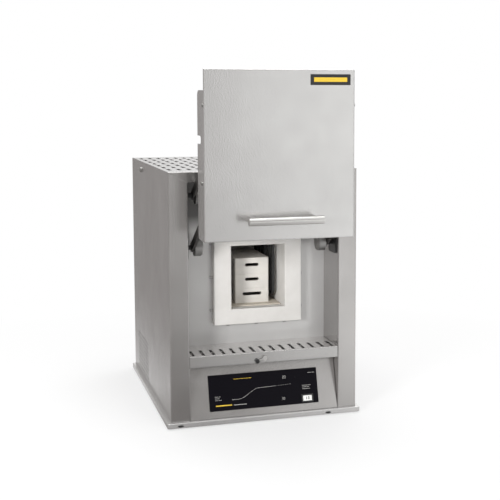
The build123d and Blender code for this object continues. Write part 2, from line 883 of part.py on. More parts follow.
def relay_block():
    """Relay block on the tray, beside the inlet."""
    y = (body_d - relay_back - relay_d, body_d - relay_back)
    relay = block((relay_x, relay_x + relay_w), y, (tray_top, tray_top + relay_h))
    return fillet(relay.edges().filter_by(Axis.Z), tray_corner_r - 1)


# ---- Linkage ----
def capsule(start, end, width):
    """A flat bar's outline with round ends, drawn in Y and Z."""
    dy, dz = end[0] - start[0], end[1] - start[1]
    length = (dy * dy + dz * dz) ** 0.5
    middle = ((start[0] + end[0]) / 2, (start[1] + end[1]) / 2)
    return Pos(*middle) * Rot(0, 0, degrees(atan2(dz, dy))) * SlotCenterToCenter(length, width)


def arm_pair(body_pivot, door_pivot, door_bore):
    """The same arm on both sides, bored for its shaft and for the door's pin."""
    outline = capsule(body_pivot, door_pivot, arm_w)
    outline -= Pos(*body_pivot) * Circle(shaft_r + running_fit)
    outline -= Pos(*door_pivot) * Circle(door_bore)
    left = side_sheet(outline, -arm_out, arm_t)
    return group([left, mirrored(left)])


def left_bracket():
    """Plate on the well wall that carries both shafts."""
    low, high = lower_pivot[1] - bracket_margin, upper_pivot[1] + bracket_margin
    plate = Pos(bracket_y, (low + high) / 2) * RectangleRounded(bracket_d, high - low, bracket_corner_r)
    return side_sheet(plate, -well_half, bracket_t)


def pivot_shafts():
    """Fixed shafts from the brackets through the arms."""
    length = bracket_in - arm_in + shaft_grip
    shafts = [rod((-bracket_in, y, z), (1, 0, 0), shaft_r, length) for y, z in (upper_pivot, lower_pivot)]
    return group(shafts + [mirrored(shaft) for shaft in shafts])


def spring_drums():
    """Balance spring drums on the inner ends of the shafts."""
    drums = []
    for y, z in (upper_pivot, lower_pivot):
        drum = rod((-arm_in + shaft_grip, y, z), (1, 0, 0), drum_r, drum_len)
        drums.append(fillet(drum.edges().sort_by(Axis.X)[-1], drum_edge_r))
    return group(drums + [mirrored(drum) for drum in drums])


# ---- Door ----
def flange_outline():
    """The door's side flange, drawn in Y and Z, notched to pass round the lower shaft."""
    back = door_front + door_flange_d
    top = door_top - door_flange_top
    outline = Pos((door_front + back) / 2, (door_open_z + top) / 2) * Rectangle(
        door_flange_d, top - door_open_z
    )
    outline = fillet(outline.vertices().sort_by(Axis.X)[-2:], flange_corner_r)
    notch_z = lower_pivot[1] + travel_z - notch_drop
    notch = RectangleRounded(2 * notch_depth, notch_h, notch_h / 2 - 0.5)
    return outline - Pos(back, notch_z) * notch


def door_skin():
    """Front sheet with side flanges and narrow hems at the top and bottom."""
    skin = block((-door_half, door_half), (door_front, door_front + door_t), (door_open_z, door_top))
    hem_x = (-door_half + door_hem_inset, door_half - door_hem_inset)
    hem_y = (door_front + door_t, door_front + door_hem)
    skin += block(hem_x, hem_y, (door_open_z, door_open_z + door_t))
    skin += block(hem_x, hem_y, (door_top - door_t, door_top))
    skin += side_sheet(flange_outline(), -door_half, door_flange_t)
    skin += side_sheet(flange_outline(), door_half - door_flange_t, door_flange_t)
    rim = [edge for edge in skin.edges().group_by(Axis.Y)[0] if edge.length > door_w / 2]
    return fillet(rim, bend_r)


def door_pins():
    """Pins inside the flanges that the arms' free ends turn on."""
    length = door_half - door_flange_t - arm_in + shaft_grip
    start = -door_half + door_flange_t
    pins = [
        rod((start, y, z), (1, 0, 0), door_pin_r, length) for y, z in (upper_door_pivot, lower_door_pivot)
    ]
    return group(pins + [mirrored(pin) for pin in pins])


def pack_limits():
    """X and Z limits of the door's insulation pack."""
    x = (-door_pack_w / 2, door_pack_w / 2)
    return x, (door_open_z + door_pack_margin, door_top - door_pack_margin)


def door_pan():
    """Shallow pan that holds the door's insulation behind the skin."""
    x, z = pack_limits()
    pan = block(x, (pack_front, door_front + door_flange_d), z)
    return pan - block(
        (x[0] + door_t, x[1] - door_t), (pack_front + door_t, 0), (z[0] + door_t, z[1] - door_t)
    )


def door_pan_rails():
    """Two top-hat rails between the skin and the pan."""
    x, z = pack_limits()
    z = (z[0] + rail_margin, z[1] - rail_margin)
    half = rail_w / 2
    rails = []
    for side in (-1, 1):
        middle = side * (x[1] - rail_inset)
        rail = block((middle - half, middle + half), (door_front + door_t, pack_front), z)
        rail -= block(
            (middle - half + rail_t, middle + half - rail_t), (door_front, pack_front - rail_t), (0, door_top)
        )
        rails.append(rail)
    return group(rails)


def door_insulation():
    """Fibre block in the pan that presses on the collar when the door is shut."""
    x, z = pack_limits()
    pack = block(
        (x[0] + door_t, x[1] - door_t), (pack_front + door_t, pack_back), (z[0] + door_t, z[1] - door_t)
    )
    return fillet(pack.edges().group_by(Axis.Y)[-1], door_pack_edge_r)


def door_plug():
    """Raised fibre plug that enters the muffle's mouth when the door is shut."""
    z = muffle_z + travel_z
    plug = block(
        (muffle_left + plug_gap, muffle_right - plug_gap),
        (pack_back, pack_back + seal_gap + plug_reach),
        (z + plug_gap, z + muffle_h - plug_gap),
    )
    return fillet(plug.edges().group_by(Axis.Y)[-1], door_pack_edge_r)


def door_bolts():
    """Round-headed bolts on the outside of the flanges."""
    bolts = [
        rod((-door_half, door_front + y, door_top - drop), (-1, 0, 0), bolt_r, bolt_head)
        for y, drop in bolt_places
    ]
    return group(bolts + [mirrored(bolt) for bolt in bolts])


def handle_bar():
    """Round bar across the lower part of the door."""
    bar = rod((-handle_len / 2, handle_y, handle_z), (1, 0, 0), handle_r, handle_len)
    return chamfer(bar.edges().filter_by(GeomType.CIRCLE), 1)


def handle_posts():
    """Two posts from the door to the bar."""
    posts = []
    for side in (-1, 1):
        x = side * (handle_len / 2 - post_inset - post_r)
        post = rod((x, door_front, handle_z), (0, -1, 0), post_r, handle_standoff)
        posts.append(post - handle_bar())
    return group(posts)


def badge_plate():
    """Plain plate in the top right corner of the door."""
    right, top = door_half - badge_inset, door_top - badge_inset
    plate = block((right - badge_w, right), (door_front - badge_t, door_front), (top - badge_h, top))
    return fillet(plate.edges().filter_by(Axis.Y), badge_corner_r)


# ---- Fixings ----
def cover_screws():
    """Screws of the back, and the plug high on each side."""
    low, high = tray_top + screw_low, body_h - screw_drop
    rows = [low + (high - low) * n / (screw_rows - 1) for n in range(screw_rows)]
    edge = half_w - screw_inset
    places = [(side * edge, z) for side in (-1, 1) for z in rows]
    places += [(step * top_screw_pitch, top_under - top_screw_drop) for step in (-1, 0, 1)]
    screws = [rod((x, body_d, z), (0, 1, 0), screw_r, screw_head) for x, z in places]
    inside = side_plug_r - side_plug_lip
    for side in (-1, 1):
        start = side * (half_w - side_plug_len)
        plug = rod((side * half_w, side_plug_y, side_plug_z), (side, 0, 0), side_plug_r, side_plug_head)
        rim = max(plug.edges().filter_by(GeomType.CIRCLE), key=lambda edge: side * edge.center().X)
        plug = fillet(rim, side_plug_edge_r)
        screws.append(plug + rod((start, side_plug_y, side_plug_z), (side, 0, 0), inside, side_plug_len))
    return group(screws)


slabs = {
    "insulation_floor": (
        (box_left, box_right), (bulkhead_back, muffle_back_y), (box_low, hearth_top - hearth_t)
    ),
    "insulation_left": (
        (box_left, muffle_left), (bulkhead_back, muffle_back_y), (hearth_top - hearth_t, muffle_top)
    ),
    "insulation_right": (
        (muffle_right, box_right), (bulkhead_back, muffle_back_y), (hearth_top - hearth_t, muffle_top)
    ),
}

nodes = {
    "base_tray": base_tray(),
    "rubber_feet": feet(),
    "left_side_cover": left_side_cover(),
    "right_side_cover": mirrored(left_side_cover()),
    "top_cover": top_cover(),
    "rear_cover": rear_cover(),
    "front_bulkhead": bulkhead(),
    "left_well_wall": left_well_wall(),
    "right_well_wall": mirrored(left_well_wall()),
    "well_ceiling": well_ceiling(),
    "vented_ledge": vented_ledge(),
    "control_fascia": fascia(),
    "control_panel": control_panel(),
    "controller_board": controller_board(),
    "mains_switch_housing": switch_housing(),
    "mains_rocker": mains_rocker(),
    "air_inlet_lever": air_lever(),
    "air_inlet_knob": air_knob(),
    "muffle_collar": collar(),
    "collar_clips": collar_clips(),
    "insulation_roof": insulation_roof(),
    "insulation_rear": insulation_rear(),
    "hot_box_casing": casing(),
    "hot_box_stands": casing_stands(),
    "heating_elements_left": heating_elements(muffle_left + element_inset),
    "heating_elements_right": heating_elements(muffle_right - element_inset),
    "element_clamps": element_clamps(),
    "hearth_plate": hearth_plate(),
    "saggar_lower": saggar(0, lower_saggar_slot_w),
    "saggar_middle": saggar(1, saggar_slot_w),
    "saggar_upper": saggar(2, saggar_slot_w),
    "saggar_lid": saggar_lid(),
    "exhaust_tube": exhaust_tube(),
    "thermocouple": thermocouple(),
    "cooling_fan_frame": fan_frame(),
    "cooling_fan_rotor": fan_rotor(),
    "fan_guard": fan_guard(),
    "mains_inlet": mains_inlet(),
    "power_module": power_module(),
    "relay_block": relay_block(),
    "left_pivot_bracket": left_bracket(),
    "right_pivot_bracket": mirrored(left_bracket()),
    "pivot_shafts": pivot_shafts(),
    "balance_spring_drums": spring_drums(),
    "upper_arms": arm_pair(upper_pivot, upper_door_pivot, door_pin_r + running_fit),
    "lower_arms": arm_pair(lower_pivot, lower_door_pivot, door_pin_r + loop_clearance),
    "door_skin": door_skin(),
    "door_pins": door_pins(),
    "door_pan": door_pan(),
    "door_pan_rails": door_pan_rails(),
    "door_insulation": door_insulation(),
    "door_plug": door_plug(),
    "door_bolts": door_bolts(),
    "handle_bar": handle_bar(),
    "handle_posts": handle_posts(),
    "badge_plate": badge_plate(),
    "cover_screws": cover_screws(),
}
nodes |= {name: block(*limits) for name, limits in slabs.items()}

os.makedirs("parts", exist_ok=True)
for name, shape in nodes.items():
    export_step(Pos(0, -origin_y, 0) * shape, f"parts/{name}.step")
print("origin shift", round(origin_y, 3), "nodes", len(nodes))
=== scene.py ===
import json
import math

import bmesh
import bpy
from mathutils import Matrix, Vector
from mathutils.bvhtree import BVHTree


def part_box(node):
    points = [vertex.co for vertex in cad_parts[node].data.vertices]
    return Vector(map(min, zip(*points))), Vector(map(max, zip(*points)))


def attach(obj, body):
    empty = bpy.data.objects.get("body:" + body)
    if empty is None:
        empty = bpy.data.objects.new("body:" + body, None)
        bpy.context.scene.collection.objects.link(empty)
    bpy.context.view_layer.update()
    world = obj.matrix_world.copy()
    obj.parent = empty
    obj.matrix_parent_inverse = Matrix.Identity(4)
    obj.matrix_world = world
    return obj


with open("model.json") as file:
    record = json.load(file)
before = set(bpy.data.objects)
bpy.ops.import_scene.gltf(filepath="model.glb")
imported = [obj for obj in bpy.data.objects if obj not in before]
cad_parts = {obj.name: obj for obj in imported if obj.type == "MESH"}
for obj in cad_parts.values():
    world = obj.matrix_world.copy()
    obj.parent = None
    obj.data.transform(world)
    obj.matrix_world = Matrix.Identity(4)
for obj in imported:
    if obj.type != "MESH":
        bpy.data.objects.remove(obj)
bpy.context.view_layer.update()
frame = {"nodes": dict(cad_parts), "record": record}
MM = 0.001

# ---- Camera: a 500 x 500 picture taken from the front left, just below the raised door's top ----
PICTURE = 500
SENSOR = 36.0
FOCAL_PX = 1026.5
AXIS_PX = (300.0, 200.0)
CAMERA_AT = Vector((-0.5508, -2.19175, 0.6801))
CAMERA_YAW = 0.3002
CAMERA_PITCH = 0.1024

# ---- The sloping front: its axes in the shared frame, and what lies on it, in millimetres ----
FASCIA_TILT = math.radians(16.0)
FASCIA_FOOT = Vector((0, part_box("left_side_cover")[0].y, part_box("base_tray")[1].z))
FASCIA_U = Vector((1, 0, 0))
FASCIA_V = Vector((0, math.sin(FASCIA_TILT), math.cos(FASCIA_TILT)))
FASCIA_W = Vector((0, -math.cos(FASCIA_TILT), math.sin(FASCIA_TILT)))
PANEL_T = 2.5
INK_T = 0.08
INK_SUNK = 0.01

# ---- Marks on the mains rocker, in millimetres, placed from the middle of its face ----
MARK_TALL = 4.6
MARK_ONE = -5.2
MARK_ZERO = 0.6
MARK_SUNK = 0.05
RAY_START = 40.0

# ---- The yellow bar on the black plate: its margins and its back and front, in metres ----
STRIPE_MARGIN = Vector((0.007, 0, 0.0062))
STRIPE_BACK = -0.00002
STRIPE_FRONT = 0.0001

# ---- Plugs in the tray's front rim, in metres; a level of the dome is (size, height) ----
PLUG_PLACES = (-0.181, 0.136)
PLUG_UP = 0.0038
PLUG_HALF_WIDE = 0.0062
PLUG_HALF_TALL = 0.0023
PLUG_LEVELS = ((1.0, -0.0001), (0.94, 0.0004), (0.7, 0.0007))
PLUG_SIDES = 28

# ---- Sockets of Blender's Mix node, which has a set for numbers and one for colours ----
MIX_FACTOR = 0
MIX_NUMBERS = (2, 3)
MIX_NUMBER = 0
MIX_COLORS = (6, 7)
MIX_COLOR = 2


# ---- Helpers for node materials ----
class Paint:
    """A Principled material and short calls for the nodes that feed it. Lengths are in metres."""

    def __init__(self, name, color, roughness, metallic=0.0, **values):
        self.material = bpy.data.materials.new(name)
        self.material.use_nodes = True
        self.tree = self.material.node_tree
        self.shader = self.tree.nodes["Principled BSDF"]
        self.place = self.add("ShaderNodeTexCoord").outputs["Object"]
        self.set("Base Color", (*color, 1.0))
        self.set("Roughness", roughness)
        self.set("Metallic", metallic)
        for key, value in values.items():
            self.set(key.replace("_", " "), value)

    def add(self, kind, **settings):
        node = self.tree.nodes.new(kind)
        for key, value in settings.items():
            setattr(node, key, value)
        return node

    def set(self, socket, value):
        self.shader.inputs[socket].default_value = value

    def link(self, source, target):
        self.tree.links.new(source, target)

    def noise(self, scale, detail=4.0, roughness=0.55, stretch=None):
        """Cloudy noise, with scale clouds to a metre."""
        node = self.add("ShaderNodeTexNoise")
        node.inputs["Scale"].default_value = scale
        node.inputs["Detail"].default_value = detail
        node.inputs["Roughness"].default_value = roughness
        self.link(self.stretched(stretch), node.inputs["Vector"])
        return node.outputs["Fac"]

    def cells(self, scale, feature="F1", stretch=None):
        """Distance inside random cells, with scale cells to a metre."""
        node = self.add("ShaderNodeTexVoronoi", feature=feature)
        node.inputs["Scale"].default_value = scale
        self.link(self.stretched(stretch), node.inputs["Vector"])
        return node.outputs["Distance"]

    def stretched(self, stretch):
        """The object's own coordinates, multiplied by stretch."""
        if stretch is None:
            return self.place
        node = self.add("ShaderNodeMapping")
        node.inputs["Scale"].default_value = stretch
        self.link(self.place, node.inputs["Vector"])
        return node.outputs["Vector"]

    def ramp(self, source, *stops):
        """A colour ramp with stops of (position, colour or grey level)."""
        node = self.add("ShaderNodeValToRGB")
        while len(node.color_ramp.elements) < len(stops):
            node.color_ramp.elements.new(0.5)
        for element, (at, color) in zip(node.color_ramp.elements, stops):
            element.position = at
            element.color = (*color, 1.0) if isinstance(color, tuple) else (color,) * 3 + (1.0,)
        self.link(source, node.inputs["Fac"])
        return node.outputs["Color"]

    def rescale(self, source, low, high):
        """0 to 1 turned into low to high."""
        node = self.add("ShaderNodeMapRange")
        node.inputs["To Min"].default_value = low
        node.inputs["To Max"].default_value = high
        self.link(source, node.inputs["Value"])
        return node.outputs["Result"]

    def multiply(self, one, other, factor=1.0):
        """One colour darkened by another, by a share of factor."""
        node = self.add("ShaderNodeMix", data_type="RGBA", blend_type="MULTIPLY")
        node.inputs["Factor"].default_value = factor
        for place, color in zip(MIX_COLORS, (one, other)):
            self.link(color, node.inputs[place])
        return node.outputs[MIX_COLOR]

    def painted_hollow_shade(self, reach, dark):
        """1 on open faces, falling to dark in holes, slots and joints: painted shade in the
        hollows.
        """
        node = self.add("ShaderNodeAmbientOcclusion", samples=4, only_local=True)
        node.inputs["Distance"].default_value = reach
        return self.ramp(node.outputs["AO"], (0.25, dark), (0.75, 1.0))

    def soft_edges(self, radius):
        """Normals that round the sheet's folds and cut edges, so that they catch the light."""
        node = self.add("ShaderNodeBevel", samples=4)
        node.inputs["Radius"].default_value = radius
        return node.outputs["Normal"]

    def fading_up(self, shade_starts, shade_full, dark):
        """1 below the lower height, falling to dark above the upper one: a painted shade."""
        axes = self.add("ShaderNodeSeparateXYZ")
        self.link(self.place, axes.inputs[0])
        node = self.add("ShaderNodeMapRange")
        node.inputs["From Min"].default_value = shade_starts
        node.inputs["From Max"].default_value = shade_full
        node.inputs["To Min"].default_value = 1.0
        node.inputs["To Max"].default_value = dark
        self.link(axes.outputs["Z"], node.inputs["Value"])
        return node.outputs["Result"]

    def facing_up(self):
        """1 on faces that look up, and 0 on upright ones."""
        axes = self.add("ShaderNodeSeparateXYZ")
        self.link(self.add("ShaderNodeNewGeometry").outputs["True Normal"], axes.inputs[0])
        return axes.outputs["Z"]

    def bump(self, *layers, normal=None):
        """Layers of (height, strength, distance), each on top of the one before."""
        for height, strength, distance in layers:
            node = self.add("ShaderNodeBump")
            node.inputs["Strength"].default_value = strength
            node.inputs["Distance"].default_value = distance
            self.link(height, node.inputs["Height"])
            if normal is not None:
                self.link(normal, node.inputs["Normal"])
            normal = node.outputs["Normal"]
        self.link(normal, self.shader.inputs["Normal"])

    def color_from(self, source):
        self.link(source, self.shader.inputs["Base Color"])

    def roughness_from(self, source):
        self.link(source, self.shader.inputs["Roughness"])


# ---- Materials: low and high are the darkest and the lightest colour of a cloudy one ----
def times(factor, color):
    """A colour made darker or lighter."""
    return tuple(factor * part for part in color)


def leather_grain_steel(name, low, high, metallic=0.92, painted_top_light_factor=1.0, painted_top_shade_heights=None):
    """Stainless sheet with a leather grain, faint cloudiness, and painted shade in its holes and
    joints.

    How much brighter its upward faces are painted is a painted highlight of the light from above.
    The pair of heights over which it is painted darker going up is a painted shade under the
    cabinet's top.
    """
    paint = Paint(name, high, 0.3, metallic=metallic)
    color = paint.ramp(paint.noise(7.0, 3.0), (0.3, low), (0.72, high))
    # Painted shade: darker in holes, slots and joints.
    color = paint.multiply(color, paint.painted_hollow_shade(reach=0.006, dark=0.22))
    # Upward faces painted brighter: a painted highlight of the light from above.
    if painted_top_light_factor > 1.0:
        color = paint.multiply(color, paint.rescale(paint.facing_up(), 1.0, painted_top_light_factor))
    # Painted darker high up: a painted shade under the cabinet's top.
    if painted_top_shade_heights:
        color = paint.multiply(color, paint.fading_up(*painted_top_shade_heights, dark=0.3))
    paint.color_from(color)
    paint.roughness_from(paint.rescale(paint.noise(24.0, 5.0), 0.17, 0.29))
    grain = paint.cells(420.0, "SMOOTH_F1")
    fine = paint.noise(900.0, 2.0)
    waves = paint.noise(3.0, 1.0)
    layers = (grain, 0.13, 0.0006), (fine, 0.08, 0.0003), (waves, 0.05, 0.01)
    paint.bump(*layers, normal=paint.soft_edges(radius=0.003))
    return paint.material


def plain_sheet(name, color):
    """Bare or galvanised sheet with a faint spangle; the dark one on the arms is painted shade."""
    paint = Paint(name, color, 0.5, metallic=1.0)
    paint.color_from(paint.ramp(paint.cells(60.0), (0.1, times(0.8, color)), (0.8, color)))
    paint.bump((paint.noise(300.0), 0.1, 0.0004))
    return paint.material


def polished_steel():
    """Turned and polished bar."""
    paint = Paint("polished_steel", (0.70, 0.69, 0.675), 0.2, metallic=1.0)
    rings = paint.noise(260.0, 2.0, stretch=(6.0, 0.4, 0.4))
    paint.roughness_from(paint.rescale(rings, 0.16, 0.28))
    paint.bump((rings, 0.04, 0.0002))
    return paint.material


def black_paint():
    """Satin black enamel, a little orange-peeled."""
    paint = Paint("black_enamel", (0.012, 0.012, 0.013), 0.38, Coat_Weight=0.2)
    peel = paint.noise(420.0, 2.0)
    wear = paint.noise(35.0, 5.0)
    paint.color_from(paint.ramp(wear, (0.35, 0.010), (0.75, 0.022)))
    paint.bump((peel, 0.12, 0.0004))
    return paint.material


def fibre_board():
    """Vacuum-formed fibre: white, matt, faintly fibrous, with small pits."""
    paint = Paint("fibre_board", (0.72, 0.70, 0.67), 0.95)
    clouds = paint.noise(18.0, 5.0)
    color = paint.ramp(clouds, (0.3, (0.63, 0.612, 0.585)), (0.7, (0.71, 0.692, 0.668)))
    pits = paint.ramp(paint.cells(210.0), (0.02, 0.72), (0.12, 1.0))
    paint.color_from(paint.multiply(color, pits, 0.5))
    fibres = paint.noise(500.0, 6.0, 0.7)
    paint.bump((fibres, 0.35, 0.0008), (clouds, 0.2, 0.003))
    return paint.material


def fired_ceramic(name, color):
    """Cream fired ceramic with fine iron specks and a slightly rough skin."""
    paint = Paint(name, color, 0.8)
    clouds = paint.ramp(paint.noise(40.0, 5.0), (0.3, times(0.9, color)), (0.7, color))
    specks = paint.ramp(paint.cells(330.0), (0.03, 0.45), (0.09, 1.0))
    paint.color_from(paint.multiply(clouds, specks, 0.6))
    paint.bump((paint.noise(600.0, 4.0), 0.25, 0.0005))
    return paint.material


def silicon_carbide():
    """Dark grey silicon carbide with a sparkling grain."""
    paint = Paint("silicon_carbide", (0.03, 0.03, 0.033), 0.6)
    grain = paint.cells(800.0)
    paint.color_from(paint.ramp(grain, (0.1, 0.07), (0.6, 0.018)))
    paint.bump((grain, 0.4, 0.0004))
    return paint.material


def black_foil():
    """Glossy black foil of the control panel."""
    paint = Paint("black_foil", (0.0035, 0.003, 0.005), 0.2, Specular_IOR_Level=0.1)
    paint.roughness_from(paint.rescale(paint.noise(90.0, 4.0), 0.2, 0.3))
    paint.bump((paint.noise(700.0, 2.0), 0.03, 0.0002))
    return paint.material


def moulded(name, color, roughness):
    """Moulded plastic or rubber with a fine eroded texture."""
    paint = Paint(name, color, roughness)
    paint.color_from(paint.ramp(paint.noise(30.0, 4.0), (0.3, color), (0.8, times(1.25, color))))
    paint.bump((paint.noise(900.0, 3.0), 0.15, 0.0003))
    return paint.material


def circuit_board():
    """Green board with paler tracks."""
    paint = Paint("circuit_board", (0.02, 0.14, 0.05), 0.4)
    tracks = paint.cells(240.0, "DISTANCE_TO_EDGE", stretch=(1.0, 1.0, 0.3))
    paint.color_from(paint.ramp(tracks, (0.04, (0.05, 0.2, 0.09)), (0.07, (0.015, 0.10, 0.04))))
    paint.bump((tracks, 0.2, 0.0003))
    return paint.material


def cast_aluminium():
    """Bare extruded aluminium."""
    paint = Paint("bare_aluminium", (0.62, 0.62, 0.63), 0.4, metallic=1.0)
    paint.bump((paint.noise(200.0, 3.0, stretch=(1.0, 0.05, 1.0)), 0.1, 0.0004))
    return paint.material


def zinc_plate():
    """Zinc-plated screws and pins."""
    paint = Paint("zinc_plate", (0.42, 0.42, 0.41), 0.34, metallic=1.0)
    clouds = paint.noise(200.0)
    paint.color_from(paint.ramp(clouds, (0.3, (0.34, 0.34, 0.33)), (0.7, (0.5, 0.5, 0.48))))
    paint.bump((paint.noise(900.0), 0.1, 0.0002))
    return paint.material


def printing_ink(name, color):
    """Screen-printed ink, slightly uneven."""
    paint = Paint(name, color, 0.5)
    paint.color_from(paint.ramp(paint.noise(400.0), (0.35, times(0.85, color)), (0.65, color)))
    return paint.material


STEEL = leather_grain_steel("leather_grain_steel", (0.465, 0.452, 0.443), (0.535, 0.523, 0.515))
# A lighter copy of the stainless: the door is painted brighter, painted light.
DOOR_STEEL_PAINTED_LIGHTER = leather_grain_steel("door_steel_painted_lighter", (0.63, 0.624, 0.618), (0.68, 0.674, 0.668))
# A lighter, less metallic copy so that more light shows on it: painted light; higher up it is
# painted darker, painted shade.
RECESS_STEEL_PAINTED_LIGHT_AND_SHADE = leather_grain_steel(
    "recess_steel_painted_light_and_shade", (0.57, 0.562, 0.555), (0.64, 0.632, 0.625), metallic=0.36, painted_top_shade_heights=(0.395, 0.425)
)
# A slightly darker, less metallic copy whose upward faces are painted brighter: painted light and
# shade.
LEDGE_STEEL_PAINTED_LIGHT = leather_grain_steel(
    "ledge_steel_painted_light", (0.45, 0.443, 0.436), (0.50, 0.493, 0.486), metallic=0.8, painted_top_light_factor=1.7
)
# A lighter, less metallic copy whose upward faces are painted brighter: painted light.
TRAY_STEEL_PAINTED_LIGHT = leather_grain_steel(
    "tray_steel_painted_light", (0.55, 0.545, 0.54), (0.60, 0.595, 0.59), metallic=0.7, painted_top_light_factor=1.35
)
# A dark copy of the sheet on the arms, standing in for the deep shade they sit in: painted shade.
ARM_STEEL_PAINTED_SHADE = plain_sheet("arm_steel_painted_shade", (0.16, 0.155, 0.15))
DRUM_STEEL = plain_sheet("drum_steel", (0.42, 0.415, 0.41))
SHEET = plain_sheet("galvanised_sheet", (0.50, 0.50, 0.49))
INK_WHITE = printing_ink("white_ink", (0.48, 0.47, 0.45))
INK_YELLOW = printing_ink("yellow_ink", (0.74, 0.50, 0.04))
INK_DARK = printing_ink("dark_ink", (0.03, 0.03, 0.03))

FINISH = {
    "stainless": STEEL,
    "steel_sheet": SHEET,
    "black_steel": black_paint(),
    "polished_bar": polished_steel(),
    "fibre": fibre_board(),
    "brick": fired_ceramic("hearth_ceramic", (0.70, 0.64, 0.55)),
    "saggar": fired_ceramic("tray_ceramic", (0.74, 0.715, 0.67)),
    "element": silicon_carbide(),
    "alumina": fired_ceramic("alumina", (0.80, 0.78, 0.73)),
    "panel_black": black_foil(),
    "black_plastic": moulded("black_plastic", (0.016, 0.016, 0.017), 0.45),
    "white_plastic": moulded("white_plastic", (0.72, 0.72, 0.70), 0.35),
    "board": circuit_board(),
    "heat_sink": cast_aluminium(),
    "screw": zinc_plate(),
    "foot_rubber": moulded("foot_rubber", (0.012, 0.012, 0.012), 0.8),
}

OWN_FINISH = {
    "door_skin": DOOR_STEEL_PAINTED_LIGHTER,
    "front_bulkhead": RECESS_STEEL_PAINTED_LIGHT_AND_SHADE,
    "vented_ledge": LEDGE_STEEL_PAINTED_LIGHT,
    "base_tray": TRAY_STEEL_PAINTED_LIGHT,
    "upper_arms": ARM_STEEL_PAINTED_SHADE,
    "lower_arms": ARM_STEEL_PAINTED_SHADE,
    "balance_spring_drums": DRUM_STEEL,
    "collar_clips": TRAY_STEEL_PAINTED_LIGHT,
    "air_inlet_lever": FINISH["polished_bar"],
}


def finish_nodes():
    """Gives every CAD node its own finish or the material of its slot."""
    slot_of = {row["node"]: row["material_slot"] for row in frame["record"]["subparts"]}
    for name, node in frame["nodes"].items():
        node.data.materials.clear()
        node.data.materials.append(OWN_FINISH.get(name) or FINISH[slot_of[name]])


# ---- Printed marks, as thin solids on the faces that carry them ----
def fascia_point(u, v, w):
    """A point of the sloping front from its own coordinates in millimetres."""
    return FASCIA_FOOT + (FASCIA_U * u + FASCIA_V * v + FASCIA_W * w) * MM


def add_mesh(name, build, material):
    """A mesh object made by a function that fills a bmesh."""
    mesh = bpy.data.meshes.new(name)
    shape = bmesh.new()
    build(shape)
    bmesh.ops.recalc_face_normals(shape, faces=shape.faces)
    shape.to_mesh(mesh)
    shape.free()
    mesh.materials.append(material)
    piece = bpy.data.objects.new(name, mesh)
    bpy.context.scene.collection.objects.link(piece)
    return piece


def close_rings(shape, rings):
    """A closed solid through rings of corners, with flat ends."""
    shape.faces.new(rings[0][::-1])
    shape.faces.new(rings[-1])
    for lower, upper in zip(rings, rings[1:]):
        for n in range(len(lower)):
            after = (n + 1) % len(lower)
            shape.faces.new((lower[n], lower[after], upper[after], upper[n]))


def add_prism(shape, outline, place, low, high):
    """A closed prism on a flat outline; place(u, v, w) gives each corner."""
    close_rings(shape, [[shape.verts.new(place(u, v, w)) for u, v in outline] for w in (low, high)])


def ribbon(start, end, width):
    """The outline of a straight stroke of a given width."""
    along = Vector((end[0] - start[0], end[1] - start[1])).normalized() * (width / 2)
    across = Vector((-along.y, along.x))
    a, b = Vector(start) - along, Vector(end) + along
    return [tuple(a - across), tuple(b - across), tuple(b + across), tuple(a + across)]


# The strokes of each digit, and the ends of each stroke on a grid one wide and two tall.
DIGIT_STROKES = {
    "0": "abcdef", "1": "bc", "2": "abged", "3": "abgcd", "4": "fgbc",
    "5": "afgcd", "6": "afgecd", "7": "abc", "8": "abcdefg", "9": "abcdfg",
}
STROKE_ENDS = {
    "a": ((0, 2), (1, 2)), "b": ((1, 1), (1, 2)), "c": ((1, 0), (1, 1)), "d": ((0, 0), (1, 0)),
    "e": ((0, 0), (0, 1)), "f": ((0, 1), (0, 2)), "g": ((0, 1), (1, 1)),
}


def digit_strokes(text, u, v, height, weight=0.1):
    """Seven-stroke digits as stroke outlines, from the lower left corner; weight is per height."""
    half, step = height / 2, height * 0.82
    strokes = []
    for place, digit in enumerate(text):
        for key in DIGIT_STROKES[digit]:
            ends = [(u + place * step + x * half, v + y * half) for x, y in STROKE_ENDS[key]]
            strokes.append(ribbon(*ends, height * weight))
    return strokes


def dash_row(u, v, lengths, height, gap=1.6):
    """A row of short bars, as a stand-in for a line of small print."""
    strokes = []
    for length in lengths:
        strokes.append(ribbon((u, v), (u + length, v), height))
        u += length + gap
    return strokes


def heating_curve():
    """A generic heating curve: hold, rise and hold, ending in dots."""
    u, v = -70.0, 36.0
    hold, rise, plateau = 14.0, 46.0, 36.0
    height, steps, tilt, line_wide = 20.0, 14, 1, 0.55
    dots, dot_long, dot_wide = 6, 1.2, 0.6
    dots_after, dot_step, dot_climb = 6, 5, 0.3
    points = [(u, v), (u + hold, v)]
    for n in range(1, steps + 1):
        share = n / steps
        eased = share * share * (3 - 2 * share)
        points.append((u + hold + rise * share, v + height * eased))
    points.append((u + hold + rise + plateau, v + height + tilt))
    strokes = [ribbon(a, b, line_wide) for a, b in zip(points, points[1:])]
    end_u, end_v = points[-1]
    for n in range(dots):
        x, y = end_u + dots_after + dot_step * n, end_v + dot_climb * n
        strokes.append(ribbon((x, y), (x + dot_long, y), dot_wide))
    return strokes


